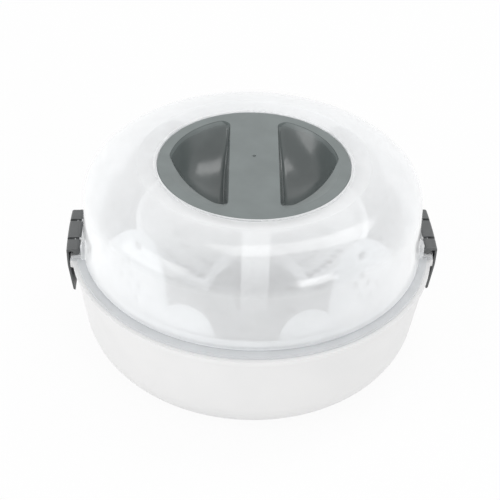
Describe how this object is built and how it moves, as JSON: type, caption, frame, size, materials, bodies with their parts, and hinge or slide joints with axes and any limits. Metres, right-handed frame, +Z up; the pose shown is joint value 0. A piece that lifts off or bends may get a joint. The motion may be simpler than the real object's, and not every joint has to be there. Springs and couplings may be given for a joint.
{
  "type": "baby bottle sterilizer",
  "caption": "round microwave steam sterilizer with a white bowl, frosted rack and dome, recessed grey handle and hinged side latches",
  "frame": {"origin": "middle of the plane that the bowl's foot ring stands on", "axes": "+Z up through the handle, +X through the right latch, -Y towards the viewer of the picture"},
  "size_m": [0.2714, 0.267, 0.1504],
  "materials": {
    "white_bowl": "satin opaque white polypropylene",
    "frosted_rack": "frosted natural polypropylene",
    "frosted_tray": "frosted natural polypropylene",
    "white_tongs": "satin white polypropylene",
    "frosted_dome": "glossy outside, frosted clear polypropylene",
    "grey_handle": "satin cool grey polypropylene, smooth pockets",
    "grey_latch": "satin dark grey polypropylene"
  },
  "bodies": {
    "base_bowl": {"base_bowl": "white_bowl"},
    "bottle_rack": {"bottle_rack": "frosted_rack"},
    "accessory_tray": {"accessory_tray": "frosted_tray"},
    "tongs": {"tongs": "white_tongs"},
    "dome_lid": {"dome_lid": "frosted_dome", "handle": "grey_handle"},
    "right_latch": {"right_latch": "grey_latch"},
    "left_latch": {"left_latch": "grey_latch"}
  },
  "joints": [
    {"name": "rack_lift", "type": "slide", "parent": "base_bowl", "child": "bottle_rack", "axis": [0, 0, 1], "range_m": [0, 0.192]},
    {"name": "tray_lift", "type": "slide", "parent": "bottle_rack", "child": "accessory_tray", "axis": [0, 0, 1], "range_m": [0, 0.192]},
    {"name": "tongs_lift", "type": "slide", "parent": "accessory_tray", "child": "tongs", "axis": [0, 0, 1], "range_m": [0, 0.192]},
    {"name": "dome_lift", "type": "slide", "parent": "tongs", "child": "dome_lid", "axis": [0, 0, 1], "range_m": [0, 0.192]},
    {"name": "right_latch_hinge", "type": "hinge", "parent": "dome_lid", "child": "right_latch", "pos_m": [0.128, 0, 0.087], "axis": [0, -1, 0], "range_deg": [0, 90]},
    {"name": "left_latch_hinge", "type": "hinge", "parent": "dome_lid", "child": "left_latch", "pos_m": [-0.128, 0, 0.087], "axis": [0, 1, 0], "range_deg": [0, 90]}
  ]
}
